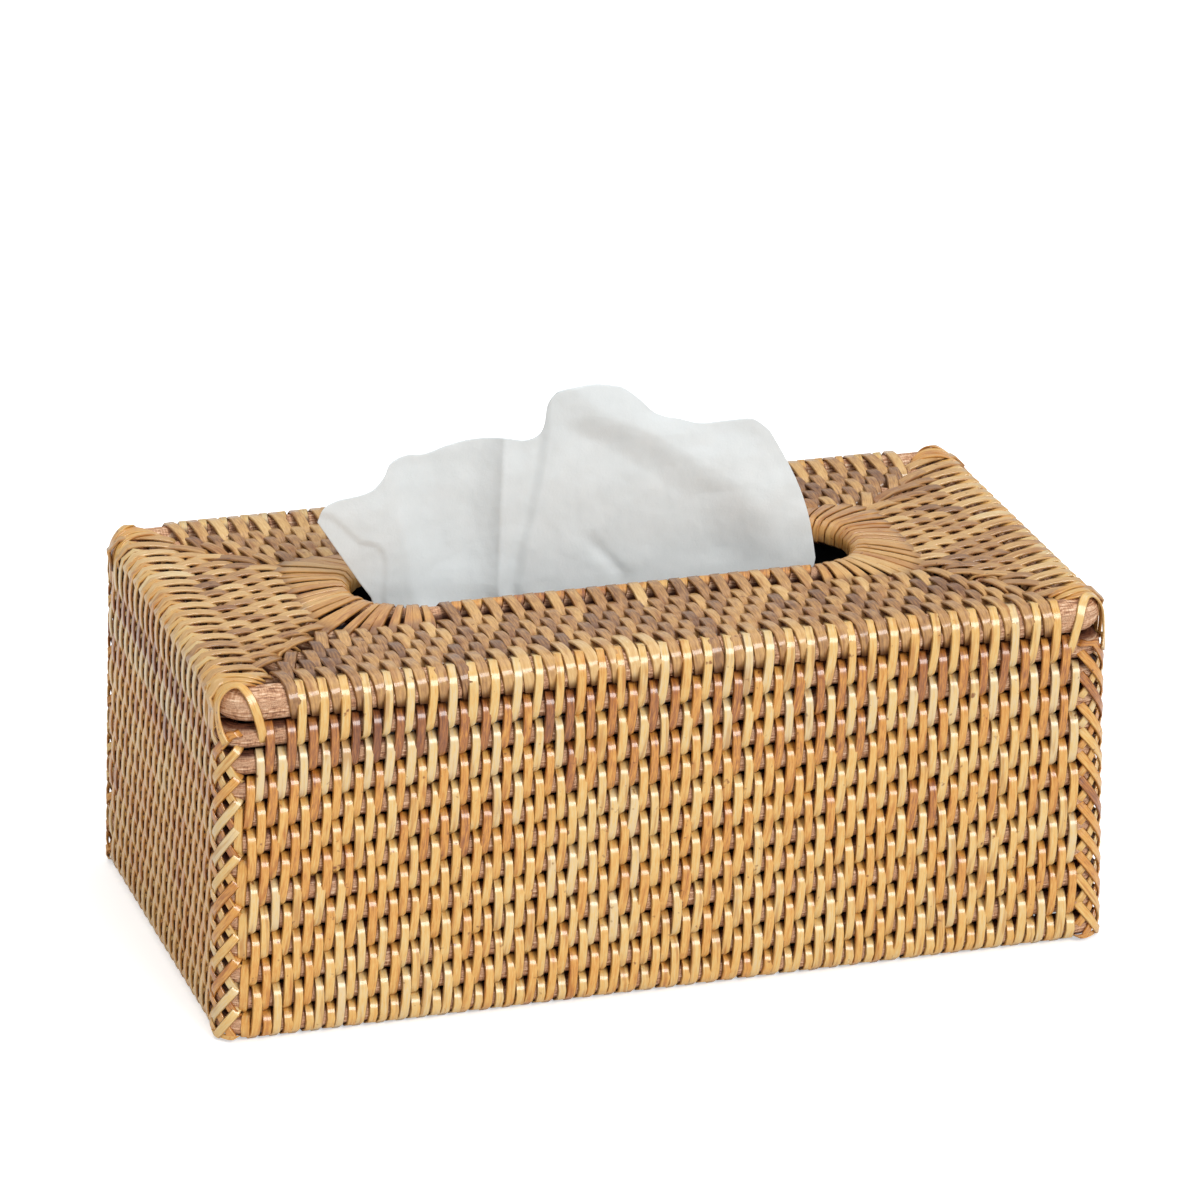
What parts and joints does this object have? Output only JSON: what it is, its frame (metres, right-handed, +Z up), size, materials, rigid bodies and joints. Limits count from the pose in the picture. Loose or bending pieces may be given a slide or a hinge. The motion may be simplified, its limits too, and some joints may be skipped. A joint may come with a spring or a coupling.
{
  "type": "tissue box cover",
  "caption": "Woven rattan cover with a wrapped oval opening, standing over a carton of folded tissues with one tissue drawn up through it.",
  "frame": {"origin": "middle of the base, on the plane the cover and its carton stand on", "axes": "+X along the length to the right seen from the front, +Y to the back, +Z up"},
  "size_m": [0.271, 0.144, 0.1619],
  "materials": {
    "rattan_core": "bare, fine grain along the rod",
    "rattan_peel": "smooth strips with a slight natural gloss",
    "rattan_wrap": "smooth strips with a slight natural gloss",
    "carton_board": "matt, plain",
    "tissue_paper": "soft, matt"
  },
  "bodies": {
    "carton": {"carton": "carton_board", "tissue_stack": "tissue_paper"},
    "cover": {"edge_rod": "rattan_core", "side_rod_01": "rattan_core", "side_rod_02": "rattan_core", "side_rod_03": "rattan_core", "side_rod_04": "rattan_core", "side_rod_05": "rattan_core", "side_rod_06": "rattan_core", "side_rod_07": "rattan_core", "side_rod_08": "rattan_core", "side_rod_09": "rattan_core", "side_rod_10": "rattan_core", "side_rod_11": "rattan_core", "side_rod_12": "rattan_core", "top_rod_1": "rattan_core", "top_rod_2": "rattan_core", "top_rod_3": "rattan_core", "top_rod_4": "rattan_core", "top_rod_5": "rattan_core", "rim_rod": "rattan_core", "front_weave": "rattan_peel", "right_weave": "rattan_peel", "back_weave": "rattan_peel", "left_weave": "rattan_peel", "deck_front_weave": "rattan_peel", "deck_back_weave": "rattan_peel", "deck_left_weave": "rattan_peel", "deck_right_weave": "rattan_peel", "rim_wrap_left": "rattan_wrap", "rim_wrap_right": "rattan_wrap", "front_left_under_lashing": "rattan_peel", "front_left_over_lashing": "rattan_peel", "front_right_under_lashing": "rattan_peel", "front_right_over_lashing": "rattan_peel", "back_left_under_lashing": "rattan_peel", "back_left_over_lashing": "rattan_peel", "back_right_under_lashing": "rattan_peel", "back_right_over_lashing": "rattan_peel"},
    "tissue": {"pop_up_tissue": "tissue_paper"}
  },
  "joints": [
    {"name": "cover_lift", "type": "slide", "parent": "carton", "child": "cover", "axis": [0, 0, 1], "range_m": [0, 0.12], "deforming": ["pop_up_tissue"]},
    {"name": "tissue_pull", "type": "slide", "parent": "carton", "child": "tissue", "axis": [0, 0, 1], "range_m": [0, 0.06]}
  ]
}
